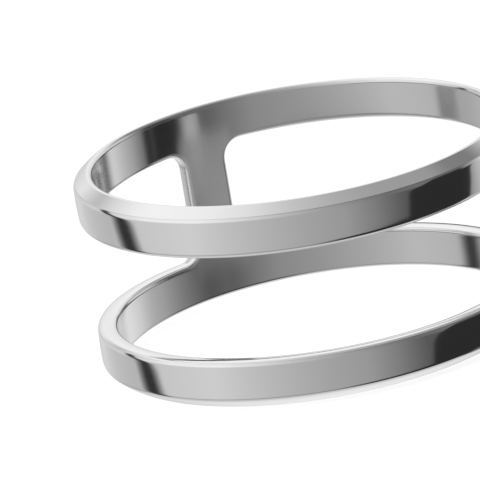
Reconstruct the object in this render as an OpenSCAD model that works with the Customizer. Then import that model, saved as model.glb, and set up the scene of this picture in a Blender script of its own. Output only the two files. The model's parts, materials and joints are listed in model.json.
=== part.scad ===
// A finger ring of two parallel bands, joined at the back by one short upright bar.
// The ring lies on its side: the finger hole runs along Z and the bar is at +Y. The bands taper: their
// narrowest place is to the right of the bar.
// The origin is the centre of the finger hole, level with the lowest point of the lower rim.

/* [Finger hole] */
// Inside diameter of the ring
finger_d = 17.3; // [15:0.1:21]
// Thickness of the metal, from the finger hole to the outer face
wall_t = 0.88; // [0.8:0.01:1.2]

/* [Bands] */
// Distance between the centre lines of the two bands
band_pitch = 6.74; // [6.3:0.01:8]
// Height of each band where it is widest
wide_h = 2.14; // [1.9:0.01:2.4]
// Height of each band where it is narrowest, across the ring from there
narrow_h = 1.78; // [1.5:0.01:1.9]
// Where the bands are narrowest, in degrees from the bar towards +X
narrow_turn = 51; // [0:1:90]

/* [Bevelled rims] */
// Slope of the bevel that runs round the two outer rims, in degrees from level
bevel_slope = 37; // [25:1:40]
// Width of the flat land at the top of each outer rim
land_w = 0.06; // [0.04:0.01:0.1]
// Radius on both sides of the land
crest_r = 0.18; // [0.1:0.01:0.2]
// Radius where the bevel turns down into the outer face
face_r = 0.26; // [0.15:0.01:0.3]

/* [Slot between the bands] */
// Radius on the edges of the slot
edge_r = 0.2; // [0.1:0.01:0.25]

/* [Bar] */
// Width of the bar across the slot
bar_w = 2; // [1.5:0.1:4]
// How far the flat inner face of the bar stands back from the round of the bands, at its middle
bar_inset = 0.02; // [0.01:0.01:0.1]
// Radius in the corners where the bar meets the bands
fillet_r = 0.8; // [0.2:0.05:1]

/* [Hidden] */

$fn = 180;
arc_steps = 4;                            // straight steps in each quarter round
past = 0.02;                              // a round runs this far past the wall, so that it cuts it cleanly
margin = 0.5;                             // how far cutting shapes reach past the metal
fillet_turn = 80;                         // degrees that a fillet turns before it dips into the band
r_in = finger_d / 2;
r_out = r_in + wall_t;
mean_h = (wide_h + narrow_h) / 2;
rim_r = r_in + crest_r + land_w;          // radius at which the band heights are measured
taper = atan((wide_h - narrow_h) / 4 / rim_r);
rim_z = (band_pitch + mean_h) / 2;        // height of the rim plane over the middle, on the axis
slot_z = (band_pitch - mean_h) / 2;       // height of the slot plane over the middle, on the axis
low_slot_z = slot_z - r_out * tan(taper); // where the slot is lowest
middle_z = (band_pitch + wide_h) / 2;     // height of the middle plane over the surface it lies on
tall = band_pitch + 2 * wide_h;
bar_reach = r_out + 3 * margin;           // past the widest cutting shape

// Points of a round with centre c and radius r, from angle a0 to angle a1
function round_points(c, r, a0, a1) =
    let (n = max(1, ceil(abs(a1 - a0) / 90 * arc_steps)))
    [for (i = [0:n]) let (a = a0 + (a1 - a0) * i / n) [c[0] + r * cos(a), c[1] + r * sin(a)]];

// Height of the slot's upper face over the middle plane, at the back of the ring, x to one side
function slot_height(x) = slot_z + tan(taper) * (x * sin(narrow_turn) + r_out * cos(narrow_turn));

// Radial section of the metal under an outer rim: crest, land, bevel and outer face; y = 0 is the land
function rim_section(m) =
    let (
        crest = [r_in + crest_r - past, -crest_r],
        shoulder = [rim_r, -crest_r],
        face_x = r_out - face_r + past,
        face_y = -crest_r + (crest_r - face_r - sin(bevel_slope) * (face_x - rim_r)) / cos(bevel_slope)
    )
    concat(
        [[r_in - m, -tall], [r_in - m, -crest_r]],
        round_points(crest, crest_r, 180, 90),
        round_points(shoulder, crest_r, 90, 90 - bevel_slope),
        round_points([face_x, face_y], face_r, 90 - bevel_slope, 0),
        [[r_out + m, face_y], [r_out + m, -tall]]
    );

// Radial section of the slot: level between the two walls, rounded where it opens into them
function slot_section(m) =
    concat(
        [[0, -tall], [0, edge_r + m], [r_in - past, edge_r + m]],
        round_points([r_in - past + edge_r, edge_r], -edge_r, 0, 90),
        round_points([r_out + past - edge_r, edge_r], -edge_r, 90, 180),
        [[r_out + past, edge_r + m], [r_out + m, edge_r + m], [r_out + m, -tall]]
    );

// The wall of the ring, before its rims are shaped and the slot is cut
module wall() {
    difference() {
        cylinder(r = r_out, h = tall, center = true);
        cylinder(r = r_in, h = tall + 2 * margin, center = true);
    }
}

// Everything under the upper rim surface, which falls towards the narrowest place
module under_rim(m) {
    translate([0, 0, rim_z])
        rotate([0, 0, -narrow_turn])
            rotate([-taper, 0, 0])
                rotate_extrude()
                    polygon(rim_section(m));
}

// Everything under the upper face of the slot, which rises towards the narrowest place
module under_slot_face(m) {
    translate([0, 0, slot_z])
        rotate([0, 0, -narrow_turn])
            rotate([taper, 0, 0])
                rotate_extrude()
                    polygon(slot_section(m));
}

// Side of the bar from its middle height up into the upper band: a fillet, and a run inside the band.
// The side is 1 on the right and -1 on the left.
function bar_corner(side) =
    let (
        foot_x = bar_w / 2 + fillet_r,
        face_z = slot_height(side * foot_x),
        fillet = round_points([foot_x, face_z - fillet_r], fillet_r, 180, 180 - fillet_turn)
    )
    [
        for (p = fillet) [side * p[0], p[1]],
        [side * (foot_x - fillet_r * cos(fillet_turn)), face_z + mean_h / 2]
    ];

// The same points from the last to the first
function backwards(points) = [for (i = [len(points) - 1:-1:0]) points[i]];

// The same points on the other side of the middle plane
function below(points) = [for (p = points) [p[0], -p[1]]];

// Front view of the bar, with a fillet in each corner
module bar_outline() {
    right = bar_corner(1);
    left = bar_corner(-1);
    polygon(concat(backwards(below(right)), right, backwards(left), below(left)));
}

// The part of the slot that stays metal: the bar at the back
module bar_block() {
    rotate([90, 0, 0])
        translate([0, 0, -bar_reach])
            linear_extrude(r_out)
                bar_outline();
}

// The shaving filed off inside the bar, which leaves its inner face flat; the bands stay round
module bar_shaving() {
    half_w = bar_w / 2 + fillet_r;
    translate([-half_w, 0, -low_slot_z])
        cube([2 * half_w, r_in + bar_inset, 2 * low_slot_z]);
}

// The slot that parts the two bands, all the way round from one side of the bar to the other
module slot() {
    difference() {
        intersection() {
            under_slot_face(margin);
            mirror([0, 0, 1]) under_slot_face(2 * margin);
        }
        bar_block();
    }
}

module double_band() {
    color("silver")
        translate([0, 0, middle_z])
            difference() {
                intersection() {
                    wall();
                    under_rim(margin);
                    mirror([0, 0, 1]) under_rim(2 * margin);
                }
                slot();
                bar_shaving();
            }
}

double_band();
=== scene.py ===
import json

import bmesh
import bpy
import numpy as np
from mathutils import Matrix, Vector


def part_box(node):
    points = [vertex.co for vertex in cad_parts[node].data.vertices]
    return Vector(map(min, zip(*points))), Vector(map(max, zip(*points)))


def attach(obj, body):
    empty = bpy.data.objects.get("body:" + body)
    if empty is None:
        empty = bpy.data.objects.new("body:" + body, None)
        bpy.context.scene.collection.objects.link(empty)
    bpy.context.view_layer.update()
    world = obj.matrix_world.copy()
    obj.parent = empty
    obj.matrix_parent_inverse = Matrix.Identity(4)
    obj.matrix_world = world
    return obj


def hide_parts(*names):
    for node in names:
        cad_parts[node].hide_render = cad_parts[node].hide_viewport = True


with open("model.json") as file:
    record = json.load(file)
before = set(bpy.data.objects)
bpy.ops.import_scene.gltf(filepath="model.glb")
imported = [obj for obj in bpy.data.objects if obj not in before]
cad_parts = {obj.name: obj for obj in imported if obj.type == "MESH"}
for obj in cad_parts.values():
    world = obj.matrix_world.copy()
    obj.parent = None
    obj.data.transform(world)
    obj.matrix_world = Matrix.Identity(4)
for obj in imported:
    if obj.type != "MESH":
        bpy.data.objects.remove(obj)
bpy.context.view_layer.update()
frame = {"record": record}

# Silver ring
# One casting in sterling silver: two hoops that taper towards one side, with an open slot between them
# and one upright bar across the slot. The outer rims are filed to a bevel, and every other edge is
# rounded off on the polishing wheel.
MM = 0.001
ring_low, ring_high = (np.array(corner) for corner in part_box("double_band"))
bore = next(mount for mount in frame["record"]["mounts"] if mount["name"] == "finger_bore")
inner_r = bore["dims"]["r_mm"] * MM
outer_r = (ring_high[0] - ring_low[0]) / 2
middle_r = (inner_r + outer_r) / 2
middle_z = (ring_low[2] + ring_high[2]) / 2
wide_h = 2.14 * MM                      # height of a hoop where it is widest
narrow_h = 1.78 * MM                    # height of a hoop where it is narrowest
narrow_turn = np.radians(51)            # where that is, from the bar towards +X
crest_r = 0.18 * MM                     # radius on both sides of the rim's narrow land
land_w = 0.06 * MM
bevel_slope = 37                        # degrees from level
face_r = 0.26 * MM                      # radius where the bevel turns down into the outer face
edge_r = 0.2 * MM                       # radius on the edges of the slot and of the bar
bar_w = 2.0 * MM
fillet_r = 0.8 * MM                     # radius in the corners between the bar and the hoops
face_crown = 0.05 * MM                  # the outer faces bulge by this much at the middle of each hoop
edge_bulge = 8                          # degrees that the level faces in the slot lean at their sides
bevel_bulge = 5                         # degrees that the bevel leans more or less at its sides

rim_r = inner_r + crest_r + land_w
mean_h = (wide_h + narrow_h) / 2
band_pitch = ring_high[2] - ring_low[2] - wide_h
taper = (wide_h - narrow_h) / 4 / rim_r # rise of the slot and fall of the rim for each metre that way
rim_z = (band_pitch + mean_h) / 2       # heights over the middle plane, on the axis of the finger hole
slot_z = (band_pitch - mean_h) / 2
foot_turn = np.arcsin((bar_w / 2 + fillet_r) / middle_r)
easing_turn = np.radians(30)            # from there, until lines through the wall are plain radii


def ease(t):
    """0 up to t = 0, 1 from t = 1, and 3 t^2 - 2 t^3 between."""
    t = np.clip(t, 0, 1)
    return t * t * (3 - 2 * t)


def step_ends(start, stop, steps):
    """Where each of so many even steps from start to stop ends."""
    return np.linspace(start, stop, steps + 1)[1:]


def arc(centre, radius, start, stop, steps):
    """Points centre + radius (cos a, sin a), with a going evenly from start to stop, in degrees."""
    a = np.radians(np.linspace(start, stop, steps + 1))
    return np.column_stack([centre[0] + radius * np.cos(a), centre[1] + radius * np.sin(a)])


def wall_points(turn, z, r):
    """Points at radius r and height z, turned from the bar by the angle turn at mid wall.

    Near the bar x = middle_r sin(turn) at every radius, so that its sides are parallel. Farther
    round the point is turned by the same angle at every radius. The two join by an easing.
    """
    held = np.minimum(turn, foot_turn)
    shift = np.arcsin(middle_r * np.sin(held) / r) - held
    angle = turn + shift * ease(1 - (turn - foot_turn) / easing_turn)
    return np.stack(np.broadcast_arrays(r * np.sin(angle), r * np.cos(angle), z), -1)


# Stations go along the slot of one quarter ring, from the front to the bar and down half its height.
# At each, the mesh runs from the slot's edge, the near end, to the rim, and later to the middle of the
# bar, the far end. Both ends have a turn from the bar, and a share of their height that is kept on the
# way down to the middle plane. The near end also has the lean of the slot's edge from level.
finer_turn = np.radians(40)             # from here on to the bar the stations are closer
long_steps = 140                        # from the front to there
last_steps = 30                         # from there to the foot of the fillet
fillet_steps = 12
bar_steps = 12                          # from the fillet down to the bar's middle height
rim_steps = last_steps + fillet_steps // 2
middle_steps = fillet_steps // 2 + bar_steps

long_turn = np.linspace(np.pi, finer_turn, long_steps)
last_turn = step_ends(finer_turn, foot_turn, last_steps)
lean = np.radians(step_ends(0, 90, fillet_steps))
fillet_turn = np.arcsin((bar_w / 2 + fillet_r - fillet_r * np.sin(lean)) / middle_r)
near_turn = np.concatenate([long_turn, last_turn, fillet_turn, np.full(bar_steps, fillet_turn[-1])])
near_lean = np.concatenate([np.zeros(long_steps + last_steps), lean, np.full(bar_steps, lean[-1])])
near_keep = np.concatenate([np.ones(long_steps + last_steps + fillet_steps), step_ends(1, 0, bar_steps)])
far_turn = np.concatenate([long_turn, step_ends(finer_turn, 0, rim_steps), np.zeros(middle_steps)])
far_keep = np.concatenate([np.ones(long_steps + rim_steps), step_ends(1, 0, middle_steps)])


def taper_rise(turn, r, side):
    """The taper times the distance from the axis, measured towards the hoops' narrowest place."""
    return taper * r * np.cos(turn - side * narrow_turn)


def slot_edge(depth, r, side):
    """Angle and height of the slot's edge at radius r, moved by depth into the metal.

    The slot's face is the plane z = slot_z + taper_rise. In a fillet it leaves that plane on an arc.
    The side is 1 on the right of the bar and -1 on its left.
    """
    turn = near_turn - depth * np.sin(near_lean) / (middle_r * np.cos(np.minimum(near_turn, foot_turn)))
    plane = slot_z + taper_rise(np.maximum(near_turn, foot_turn), r, side)
    z = (plane - fillet_r * (1 - np.cos(near_lean)) + depth * np.cos(near_lean)) * near_keep
    return turn, z


def wall_rows(r, drop, parts, side):
    """Rows of the wall at radius r. Each lies its part of the way from the slot's edge to the rim."""
    turn, z = slot_edge(edge_r + edge_sink, r, side)
    far_z = (rim_z - taper_rise(far_turn, r, side) - drop) * far_keep
    part = parts[:, None]
    return wall_points(turn + (far_turn - turn) * part, z + (far_z - z) * part, r)


def edge_rows(section, side):
    """Rows over the slot's edge, along which each point of the section, radius and height, is carried."""
    r, h = section.T[:, :, None]
    turn, z = slot_edge(-h, r, side)
    return wall_points(turn, z, r)


def rim_rows(section, side):
    """Rows over the rim, round which each point of the section, radius and height, is carried."""
    r, h = section.T[:, :, None]
    turn = far_turn[:long_steps + rim_steps]
    return wall_points(turn, rim_z - taper_rise(turn, r, side) + h, r)


def crowned(quarter, side):
    """The outer side drawn in by face_crown u^2, with u from 0 on the hoop's middle to 1 at its edges.

    The inner wall stays round, and between the walls the draw grows evenly with the radius.
    """
    r = np.hypot(quarter[:, 0], quarter[:, 1])
    turn = np.arctan2(quarter[:, 0], quarter[:, 1])
    u = (quarter[:, 2] - band_pitch / 2) / (mean_h / 2 - taper_rise(turn, r, side))
    draw = face_crown * np.minimum(u * u, 1) * np.clip((r - inner_r) / (outer_r - inner_r), 0, 1)
    scale = 1 - draw / r
    return quarter * np.column_stack([scale, scale, np.ones_like(r)])


# Across the slot's edge: a round, a face that is level but for its bulge, and a round. The two rounds
# sink by what the bulge rises. The first and the last point are left to the rows of the walls.
edge_steps = 8                          # in each round
face_steps = 6                          # across a bulging face, and in the short round by the land
half_face = (outer_r - inner_r) / 2 - edge_r
edge_sink = half_face * np.tan(np.radians(edge_bulge) / 2)
bulge_r = half_face / np.sin(np.radians(edge_bulge)) + edge_r
inner_round = arc((inner_r + edge_r, -edge_r - edge_sink), edge_r, 180, 90 + edge_bulge, edge_steps)
face = arc((middle_r, -bulge_r), bulge_r, 90 + edge_bulge, 90 - edge_bulge, face_steps)
outer_round = arc((outer_r - edge_r, -edge_r - edge_sink), edge_r, 90 - edge_bulge, 0, edge_steps)
edge_section = np.vstack([inner_round[1:], face[1:-1], outer_round[:-1]])

# Over the rim: a crest, the land, the bevel with its bulge, and the round that turns down into the face
crest_steps = 10                        # in the crest and in the round that turns down
upper_lean = 90 - bevel_slope + bevel_bulge
lower_lean = 90 - bevel_slope - bevel_bulge
crest = arc((inner_r + crest_r, -crest_r), crest_r, 180, 90, crest_steps)
shoulder = arc((rim_r, -crest_r), crest_r, 90, upper_lean, face_steps)
turn_down = arc((outer_r - face_r, 0), face_r, lower_lean, 0, crest_steps)
bevel_run = turn_down[0, 0] - shoulder[-1, 0]
face_drop = turn_down[0, 1] - shoulder[-1, 1] + bevel_run * np.tan(np.radians(bevel_slope))
turn_down[:, 1] -= face_drop
bevel_r = bevel_run / np.cos(np.radians(bevel_slope)) / (2 * np.sin(np.radians(bevel_bulge)))
leaned = np.radians(upper_lean)
bevel_centre = shoulder[-1] - bevel_r * np.array([np.cos(leaned), np.sin(leaned)])
bevel = arc(bevel_centre, bevel_r, upper_lean, lower_lean, face_steps)
rim_section = np.vstack([crest, shoulder, bevel[1:-1], turn_down])


def grid_faces(rows, columns, start):
    """Quads of a grid whose points are numbered row by row from start."""
    index = start + np.arange(rows * columns).reshape(rows, columns)
    corners = [index[:-1, :-1], index[:-1, 1:], index[1:, 1:], index[1:, :-1]]
    return np.stack(corners, -1).reshape(-1, 4)


# The four quarters of the ring are the right and the left one of the upper half, and their mirror
# images below. A mirrored quarter has its faces turned over, so that they still point outwards.
wall_steps = 8
up_wall = ease(np.linspace(0, 1, wall_steps + 1))
points = []
faces = []
for side in (1, -1):
    inner_wall = wall_rows(inner_r, crest_r, up_wall[::-1], side)
    outer_wall = wall_rows(outer_r, face_drop, up_wall, side)
    around_slot = np.concatenate([inner_wall, edge_rows(edge_section, side), outer_wall])
    over_rim = rim_rows(rim_section, side)
    slot_points = around_slot.reshape(-1, 3)
    quarter = crowned(np.vstack([slot_points, over_rim.reshape(-1, 3)]), side)
    slot_faces = grid_faces(*around_slot.shape[:2], 0)
    rim_faces = grid_faces(*over_rim.shape[:2], len(slot_points))[:, ::-1]
    quarter_faces = np.vstack([slot_faces, rim_faces])
    for half in (1, -1):
        faces.append(quarter_faces[:, ::side * half] + len(quarter) * len(points))
        points.append(quarter * (side, 1, half) + (0, 0, middle_z))

mesh = bpy.data.meshes.new("silver_ring")
mesh.from_pydata(np.vstack(points).tolist(), [], np.vstack(faces).tolist())
weld = 0.0001 * MM                      # points closer than this are one
welder = bmesh.new()
welder.from_mesh(mesh)
bmesh.ops.remove_doubles(welder, verts=welder.verts, dist=weld)
welder.to_mesh(mesh)
welder.free()
mesh.shade_smooth()
ring = bpy.data.objects.new("silver_ring", mesh)
bpy.context.scene.collection.objects.link(ring)


def linear(code):
    """Linear red, green and blue, and alpha 1, of an sRGB hex colour."""
    parts = [int(code[i:i + 2], 16) / 255 for i in (1, 3, 5)]
    return [v / 12.92 if v <= 0.04045 else ((v + 0.055) / 1.055) ** 2.4 for v in parts] + [1]


def add(tree, kind, settings=None, **links):
    """Adds a node. Settings are its own properties. Links go to its inputs, as a socket or a value.

    An input is named with _ for each space, or as _ and its number.
    """
    node = tree.nodes.new(kind)
    for name, value in (settings or {}).items():
        setattr(node, name, value)
    for name, value in links.items():
        key = int(name[1:]) if name[1:].isdigit() else name.replace("_", " ")
        if isinstance(value, bpy.types.NodeSocket):
            tree.links.new(value, node.inputs[key])
        else:
            node.inputs[key].default_value = value
    return node


def passing(tree, value, low, high, before, after):
    """Goes from before to after, by 3 t^2 - 2 t^3, as the value passes from low to high."""
    smooth = {"interpolation_type": "SMOOTHSTEP"}
    step = add(tree, "ShaderNodeMapRange", smooth, Value=value, From_Min=low, From_Max=high).outputs[0]
    return add(tree, "ShaderNodeMix", Factor=step, A=before, B=after).outputs[0]


# Sterling silver, cast, filed and buffed with rouge: a mirror with very fine lines round the hoops, and
# slow waves from the wheel that bend the reflections slightly. Inside, the hoops are only tumbled, so
# they mirror more softly, and their tone there is darker: painted shade inside the hoops. The bar is
# satin, which blurs what it mirrors.
buffed_tone = linear("#F4F4F4")
# Painted shade: the inner wall's tone is darker than the buffed silver
inner_shaded_tone = linear("#DCDCDC")
satin_tone = linear("#FAFAFA")
low_haze, high_haze = 0.07, 0.11        # the least and the most roughness of the polishing lines
tumbled_haze = 0.14
satin_haze = 0.26
tumbled_shaded_depth = 0.05 * MM               # how far into the wall the tumbled finish and the painted shade fade out
# Where the satin starts to fade and where it ends, beside the bar and over the middle plane
satin_side = (1.02 * bar_w / 2, 1.5 * bar_w / 2)
satin_up = (slot_z, slot_z + 1.3 * MM)
# The size of a line and of a wave round the hoop, through its wall and up it. Real polishing lines are
# finer: these are as coarse as they need to be to show.
line_size = np.array((2.5, 1 / 12, 1 / 12)) * MM
wave_size = np.array((2.86, 1.11, 1.11)) * MM
line_depth = 0.0002 * MM
wave_depth = 0.004 * MM

silver = bpy.data.materials.new("polished_silver")
silver.use_nodes = True
tree = silver.node_tree
shader = tree.nodes["Principled BSDF"]
shader.inputs["Metallic"].default_value = 1
place = add(tree, "ShaderNodeTexCoord").outputs["Object"]
axes = add(tree, "ShaderNodeSeparateXYZ", Vector=place).outputs
turn = add(tree, "ShaderNodeMath", {"operation": "ARCTAN2"}, _0=axes["X"], _1=axes["Y"]).outputs[0]
flat = add(tree, "ShaderNodeCombineXYZ", X=axes["X"], Y=axes["Y"]).outputs[0]
radius = add(tree, "ShaderNodeVectorMath", {"operation": "LENGTH"}, _0=flat).outputs["Value"]
round_place = add(tree, "ShaderNodeCombineXYZ", X=turn, Y=radius, Z=axes["Z"]).outputs[0]

# How far a place is outside the tumbled inner wall with its painted shade, and how far it is satin: the
# bar is at +Y
from_hole = {"Value": radius, "From_Min": inner_r, "From_Max": inner_r + tumbled_shaded_depth}
outside = add(tree, "ShaderNodeMapRange", **from_hole).outputs[0]
off_middle = add(tree, "ShaderNodeMath", {"operation": "SUBTRACT"}, _0=axes["Z"], _1=middle_z).outputs[0]
sideways = add(tree, "ShaderNodeMath", {"operation": "ABSOLUTE"}, _0=axes["X"]).outputs[0]
upwards = add(tree, "ShaderNodeMath", {"operation": "ABSOLUTE"}, _0=off_middle).outputs[0]
satin = add(tree, "ShaderNodeMath", {"operation": "GREATER_THAN"}, _0=axes["Y"], _1=0.0).outputs[0]
satin = passing(tree, sideways, *satin_side, satin, 0.0)
satin = passing(tree, upwards, *satin_up, satin, 0.0)

colours = {"data_type": "RGBA"}
# The inner wall takes the darker tone, as painted shade inside the hoops
tone = add(tree, "ShaderNodeMix", colours, Factor=outside, _6=inner_shaded_tone, _7=buffed_tone).outputs[2]
tone = add(tree, "ShaderNodeMix", colours, Factor=satin, _6=tone, _7=satin_tone).outputs[2]
tree.links.new(tone, shader.inputs["Base Color"])

patterns = []
for size, detail, roughness in ((line_size, 3, 0.6), (wave_size, 1, 0.5)):
    scale = np.array((middle_r, 1, 1)) / size
    fitted = add(tree, "ShaderNodeMapping", Vector=round_place, Scale=scale).outputs[0]
    noise = {"Vector": fitted, "Scale": 1, "Detail": detail, "Roughness": roughness}
    patterns.append(add(tree, "ShaderNodeTexNoise", **noise).outputs[0])
lines, waves = patterns
buffed = add(tree, "ShaderNodeMapRange", Value=lines, To_Min=low_haze, To_Max=high_haze).outputs[0]
haze = add(tree, "ShaderNodeMix", Factor=outside, A=tumbled_haze, B=buffed).outputs[0]
haze = add(tree, "ShaderNodeMix", Factor=satin, A=haze, B=satin_haze).outputs[0]
tree.links.new(haze, shader.inputs["Roughness"])
wavy = add(tree, "ShaderNodeBump", Height=waves, Strength=1, Distance=wave_depth).outputs[0]
lined = add(tree, "ShaderNodeBump", Height=lines, Strength=1, Distance=line_depth, Normal=wavy).outputs[0]
tree.links.new(lined, shader.inputs["Normal"])
mesh.materials.append(silver)

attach(ring, "root")
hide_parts("double_band")


# Camera
# A close view from 17 degrees above, 26 degrees left of straight to the bar, on a long lens. The camera
# is rolled, so that the ring leans up to the right.
px = 0.0426 * MM                        # size of a pixel at the ring, in a frame of 480 x 480 pixels
frame_px = 480
ring_px, ring_py = 308.4, 237.9         # where the middle of the ring lies in the frame
distance = 519 * MM
view_turn = np.radians(-26.4)
view_rise = np.radians(16.64)
view_roll = np.radians(9.4)
toward = Vector((np.sin(view_turn), -np.cos(view_turn), 0))
level = Vector((np.cos(view_turn), np.sin(view_turn), 0))
back = toward * np.cos(view_rise) + Vector((0, 0, np.sin(view_rise)))
upright = back.cross(level)
right = level * np.cos(view_roll) - upright * np.sin(view_roll)
up = level * np.sin(view_roll) + upright * np.cos(view_roll)
middle = Vector((0, 0, middle_z))
camera_data = bpy.data.cameras.new("camera")
camera_data.lens = camera_data.sensor_width * distance / (frame_px * px)
camera_data.clip_start = 0.01
camera_data.clip_end = 5
camera = bpy.data.objects.new("camera", camera_data)
bpy.context.scene.collection.objects.link(camera)
bpy.context.scene.camera = camera
eye = middle + back * distance
aim = middle - right * ((ring_px - frame_px / 2) * px) + up * ((ring_py - frame_px / 2) * px)
look = (aim - eye).normalized()
camera_up = (up - look * up.dot(look)).normalized()
turned = Matrix((look.cross(camera_up), camera_up, -look)).transposed()
camera.matrix_world = Matrix.Translation(eye) @ turned.to_4x4()

# Floor
# A wide sheet of matt white paper that glows a little, as paper does on a light table. The ring doesn't
# mirror it: what the ring mirrors is set below.
floor_half = 3                          # metres
floor_mesh = bpy.data.meshes.new("floor")
floor_corners = [(x * floor_half, y * floor_half, 0) for x, y in ((-1, -1), (1, -1), (1, 1), (-1, 1))]
floor_mesh.from_pydata(floor_corners, [], [(0, 1, 2, 3)])
floor = bpy.data.objects.new("floor", floor_mesh)
bpy.context.scene.collection.objects.link(floor)
floor.visible_glossy = False
paper = bpy.data.materials.new("white_paper")
paper.use_nodes = True
shader = paper.node_tree.nodes["Principled BSDF"]
shader.inputs["Base Color"].default_value = linear("#F5F5F5")
shader.inputs["Roughness"].default_value = 1
shader.inputs["Specular IOR Level"].default_value = 0
shader.inputs["Emission Color"].default_value = linear("#FFFFFF")
shader.inputs["Emission Strength"].default_value = 0.72
floor_mesh.materials.append(paper)

# Tent
# The ring stands in a white tent that darkens to the right, under a bright ceiling and over a pale table,
# with a black card on its right. Only the metal mirrors it; the camera and the paper see plain grey.
screen_gamma = 2.2                      # every grey here is as a screen shows it, from 0 to 1
tent_strength = 1.1
unmirrored_light = 0.22                 # what the camera and the paper see, linear
world = bpy.data.worlds.new("tent")
bpy.context.scene.world = world
bpy.context.scene.view_settings.view_transform = "Standard"  # so that greys come out as they are set
world.use_nodes = True
tree = world.node_tree

# A place in the tent is given by the way a surface faces that mirrors it to the camera set above: its
# turn from the camera's side, right is positive, and its tilt from straight up, both in degrees
ray = add(tree, "ShaderNodeTexCoord").outputs["Generated"]
halfway = add(tree, "ShaderNodeVectorMath", {"operation": "ADD"}, _0=ray, _1=back).outputs[0]
facing = add(tree, "ShaderNodeVectorMath", {"operation": "NORMALIZE"}, _0=halfway).outputs[0]
ways = []
for way in (level, toward, (0, 0, 1)):
    dot = add(tree, "ShaderNodeVectorMath", {"operation": "DOT_PRODUCT"}, _0=facing, _1=way)
    ways.append(dot.outputs["Value"])
rightward, forward, upward = ways
turn_angle = add(tree, "ShaderNodeMath", {"operation": "ARCTAN2"}, _0=rightward, _1=forward).outputs[0]
tilt_angle = add(tree, "ShaderNodeMath", {"operation": "ARCCOSINE"}, _0=upward).outputs[0]
turn = add(tree, "ShaderNodeMath", {"operation": "DEGREES"}, _0=turn_angle).outputs[0]
tilt = add(tree, "ShaderNodeMath", {"operation": "DEGREES"}, _0=tilt_angle).outputs[0]

# Three bands of the tent, from the top down. Each has rows of a turn and the grey there, between which
# the grey changes evenly.
band_rows = {
    "ceiling": (
        (-82, 0.90), (-68, 0.72), (-60, 0.84), (-50, 0.93), (-43, 0.95), (-28, 0.93), (-15, 0.87),
        (-3, 0.76), (10, 0.66), (20, 0.61), (30, 0.60), (37, 0.59), (44, 0.49), (53, 0.48), (66, 0.85),
        (80, 0.90),
    ),
    "front": (
        (-60, 0.80), (-45, 0.92), (-29, 0.93), (-16, 0.83), (-3, 0.69), (10, 0.57), (23, 0.42),
        (35, 0.42), (47, 0.45), (55, 0.80), (70, 0.90),
    ),
    "walls": (
        (-90, 0.97), (-82, 0.92), (-75, 0.76), (-60, 0.70), (-47, 0.77), (-31, 0.80), (-15, 0.71),
        (0, 0.63), (10, 0.59), (18, 0.49), (27, 0.34), (46, 0.45), (52, 0.68), (62, 0.88), (72, 0.97),
        (82, 0.80), (90, 0.80),
    ),
}
ramp_turn = 180                         # degrees from end to end of a band, half of them on each side
off_centre = add(tree, "ShaderNodeMath", {"operation": "DIVIDE"}, _0=turn, _1=ramp_turn).outputs[0]
along = add(tree, "ShaderNodeMath", {"operation": "ADD"}, _0=off_centre, _1=0.5).outputs[0]
bands = {}
for name, rows in band_rows.items():
    band = add(tree, "ShaderNodeValToRGB", Fac=along)
    stops = band.color_ramp.elements
    while len(stops) < len(rows):
        stops.new(0.5)
    for stop, (stop_turn, stop_grey) in zip(stops, rows):
        stop.position = stop_turn / ramp_turn + 0.5
        stop.color = (stop_grey, stop_grey, stop_grey, 1)
    bands[name] = band.outputs[0]

# The seam under the ceiling is darker than the front, most so at its right, and the walls darken at
# their foot. From the top down, each band takes over as the tilt passes from low to high.
top_grey = 0.95
foot_shade = 0.82
seam_turns = (-40, 30)                  # between which the seam goes from the one shade to the other
seam_shades = (0.92, 0.8)
seam_shade = passing(tree, turn, *seam_turns, *seam_shades)
seam = add(tree, "ShaderNodeMath", {"operation": "MULTIPLY"}, _0=bands["front"], _1=seam_shade).outputs[0]
foot = add(tree, "ShaderNodeMath", {"operation": "MULTIPLY"}, _0=bands["walls"], _1=foot_shade).outputs[0]
grey = top_grey
for low, high, band in (
    (5, 20, bands["ceiling"]),
    (43, 46, seam),
    (49, 53, bands["front"]),
    (74, 84, bands["walls"]),
    (96, 99, foot),
):
    grey = passing(tree, tilt, low, high, grey, band)

# The black card's left edge leans right as it goes up. Its top corner is cut back, and at its foot a soft
# tail runs out to the left.
card_grey = 0.18
card_top = (50, 72)                     # tilts between which the card fades in from above
card_right = (46, 47)                   # turns between which it ends on the right
edge_turn = 27.9                        # where its left edge is at a tilt of 90
edge_lean = 0.18                        # turn of that edge for each degree of tilt
corner_turn = 3.267                     # how far the corner is cut back
tail_turn = 20.0                        # how far the tail runs out
firm_edge, soft_edge = 0.7, 6.7         # half the width of the edge, above the tail and in it
over_corner = {"From_Min": 85.3, "From_Max": 88.6, "To_Min": 1.0, "To_Max": 0.0}
over_tail = {"From_Min": 93.3, "From_Max": 95.3}
corner = add(tree, "ShaderNodeMapRange", Value=tilt, **over_corner).outputs[0]
tail = add(tree, "ShaderNodeMapRange", Value=tilt, **over_tail).outputs[0]
rounded = add(tree, "ShaderNodeMath", {"operation": "POWER"}, _0=corner, _1=2.0).outputs[0]
edge = edge_turn + 90 * edge_lean
for value, factor in ((tilt, -edge_lean), (rounded, corner_turn), (tail, -tail_turn)):
    moved = add(tree, "ShaderNodeMath", {"operation": "MULTIPLY_ADD"}, _0=value, _1=factor, _2=edge)
    edge = moved.outputs[0]
past_edge = add(tree, "ShaderNodeMath", {"operation": "SUBTRACT"}, _0=turn, _1=edge).outputs[0]
softness = add(tree, "ShaderNodeMapRange", Value=tail, To_Min=firm_edge, To_Max=soft_edge).outputs[0]
over_edge = add(tree, "ShaderNodeMath", {"operation": "DIVIDE"}, _0=past_edge, _1=softness).outputs[0]
on_card = passing(tree, tilt, *card_top, 0.0, 1.0)
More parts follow.
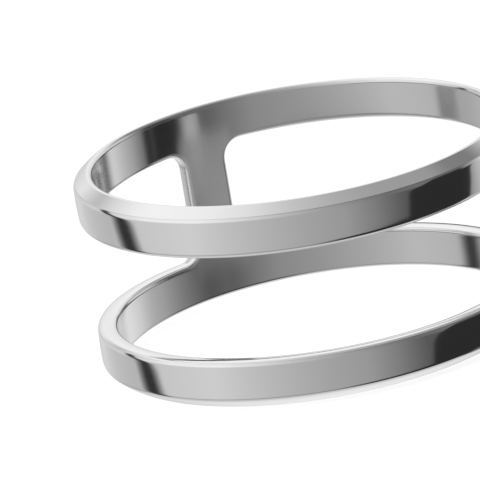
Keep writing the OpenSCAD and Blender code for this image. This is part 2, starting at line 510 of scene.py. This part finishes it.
on_card = passing(tree, turn, *card_right, on_card, 0.0)
on_card = passing(tree, over_edge, -1, 1, 0.0, on_card)
grey = add(tree, "ShaderNodeMix", Factor=on_card, A=grey, B=card_grey).outputs[0]

# The table lies under it all, and is paler where surfaces that face down mirror it. Straight behind the
# ring, where only grazing surfaces mirror the tent, it is plain.
table_top = (104, 110)                  # tilts between which the table takes over from the walls
table = 0.75
for low, high, paler in ((112, 138, 0.88), (138, 152, 0.98)):
    table = passing(tree, tilt, low, high, table, paler)
grey = passing(tree, tilt, *table_top, grey, table)
plain_grey = 0.8
plain_spans = (0.2, 0.75)               # lengths of the halfway vector, plain below, full tones above
span = add(tree, "ShaderNodeVectorMath", {"operation": "LENGTH"}, _0=halfway).outputs["Value"]
grey = passing(tree, span, *plain_spans, plain_grey, grey)
light = add(tree, "ShaderNodeMath", {"operation": "POWER"}, _0=grey, _1=screen_gamma).outputs[0]
mirrored = add(tree, "ShaderNodeLightPath").outputs["Is Glossy Ray"]
seen = add(tree, "ShaderNodeMix", Factor=mirrored, A=unmirrored_light, B=light).outputs[0]
tree.links.new(seen, tree.nodes["Background"].inputs["Color"])
tree.nodes["Background"].inputs["Strength"].default_value = tent_strength

# Cards
# Small painted cards and a far plank stand around the ring, and only the metal sees them. Each is a thin
# sheet through a grid of points, and has a grey and a cover, from clear 0 to solid 1, at every point.
card_paint = bpy.data.materials.new("card_paint")
card_paint.use_nodes = True
tree = card_paint.node_tree
tree.nodes.remove(tree.nodes["Principled BSDF"])
shade = add(tree, "ShaderNodeAttribute", {"attribute_name": "shade"}).outputs["Fac"]
bright = add(tree, "ShaderNodeMath", {"operation": "POWER"}, _0=shade, _1=screen_gamma).outputs[0]
glow = add(tree, "ShaderNodeEmission", Color=bright, Strength=tent_strength).outputs[0]
clear = add(tree, "ShaderNodeBsdfTransparent").outputs[0]
cover = add(tree, "ShaderNodeAttribute", {"attribute_name": "cover"}).outputs["Fac"]
painted = add(tree, "ShaderNodeMixShader", _0=cover, _1=clear, _2=glow).outputs[0]
tree.links.new(painted, tree.nodes["Material Output"].inputs["Surface"])


def placed(right_mm, front_mm, z_mm):
    """Points that far to the camera's right from the ring's axis, towards the camera, and up."""
    steps = np.stack(np.broadcast_arrays(right_mm, front_mm, z_mm), -1)
    return steps @ np.array((level, toward, (0, 0, 1))) * MM


def card_through(name, points, greys, covers):
    """A card through a grid of points, with greys and covers for each point, or for each column."""
    data = bpy.data.meshes.new(name)
    data.from_pydata(points.reshape(-1, 3).tolist(), [], grid_faces(*points.shape[:2], 0).tolist())
    for label, values in (("shade", greys), ("cover", covers)):
        every = np.broadcast_to(np.array(values, float), points.shape[:2]).ravel()
        data.attributes.new(label, "FLOAT", "POINT").data.foreach_set("value", every)
    board = bpy.data.objects.new(name, data)
    bpy.context.scene.collection.objects.link(board)
    for sight in ("visible_camera", "visible_diffuse", "visible_shadow", "visible_transmission"):
        setattr(board, sight, False)
    data.materials.append(card_paint)


# The plank slants, far off on the left. Its dark core fades out to a pale side on its left and right.
plank_distance = 400
plank_greys = (0.72, 0.2, 0.2, 0.74)
plank = np.array((
    # height in mm, and then the turns of the left side, of both sides of the core and of the right side
    (-285, -115, -107, -102.5, -94.5),
    (-98, -115, -107.5, -102.5, -95.5),
    (-60, -116, -109.5, -106.5, -101.5),
    (183, -131, -127, -125, -121),
))
turns = np.radians(plank[:, 1:])
plank_points = placed(plank_distance * np.sin(turns), plank_distance * np.cos(turns), plank[:, :1])
card_through("plank", plank_points, plank_greys, covers=1)

# Upright cards, with their places in millimetres. Some reach below the paper, which the metal can't see.
cards = {
    # Upright edges: how far to the right, how far to the front, grey, cover. Level edges: height, cover.
    # Close on the right, and lower than the paper
    "low_card": (
        ((14, 8.2, 0.42, 0), (14, 6.8, 0.42, 1), (14, 2, 0.36, 1), (14, -9, 0.69, 1), (14, -13, 0.78, 0)),
        ((-9, 1), (-3.2, 1), (-2, 0)),
    ),
    # Black, farther out on the right
    "end_card": (
        ((60, 8, 0.18, 0), (60, 6, 0.18, 1), (60, -0.6, 0.18, 1), (60, -1.8, 0.55, 1)),
        ((-40, 0), (-30, 1), (6, 1), (14, 0)),
    ),
    # Grey, behind the ring
    "back_card": (
        ((1, -31, 0.42, 0), (5, -29, 0.42, 1), (13, -24.5, 0.42, 1), (16, -22, 0.42, 0)),
        ((-6, 0), (-4.5, 1), (5, 1), (7, 0)),
    ),
    # Pale, close on the right
    "strip_card": (
        ((14, 6.5, 0.75, 0), (14, 4.7, 0.75, 1), (14, 2.6, 0.75, 1), (14, 1.1, 0.75, 0)),
        ((-0.4, 0), (0.6, 1), (2.4, 1), (3.8, 0)),
    ),
}
for name, (upright_edges, level_edges) in cards.items():
    right_mm, front_mm, greys, covers = np.array(upright_edges).T
    z_mm, level_covers = np.array(level_edges).T[:, :, None]
    card_through(name, placed(right_mm, front_mm, z_mm), greys, covers * level_covers)

# A level disk lies in the finger hole, a hair under the paper. It is painted shade: it stands for the
# paper inside the ring in the ring's shade, as the metal mirrors it. It is left open towards the back.
disk_r = 7.8
disk_z = -0.02
# grey of the painted shade on the paper inside the ring
paper_shade_grey = 0.62
disk_reach = 108                        # degrees to each side of the front
disk_steps = 36
turns = np.radians(np.linspace(-disk_reach, disk_reach, disk_steps + 1))
radii = np.array([[0], [disk_r]])
disk_points = placed(radii * np.sin(turns), radii * np.cos(turns), disk_z)
card_through("shaded_paper_card", disk_points, paper_shade_grey, covers=1)

# Lamp
# One broad round lamp hangs over the ring. It lights the paper, and throws a soft shadow under the ring,
# but the metal doesn't mirror it.
lamp_data = bpy.data.lights.new("overhead", "AREA")
lamp_data.shape = "DISK"
lamp_data.size = 0.8                    # metres
lamp_data.energy = 1.2                  # watts
lamp = bpy.data.objects.new("overhead", lamp_data)
bpy.context.scene.collection.objects.link(lamp)
lamp_z = 0.8                            # metres over the paper
lamp.location = (0, 0, lamp_z)
lamp.visible_glossy = False
lamp.visible_camera = False
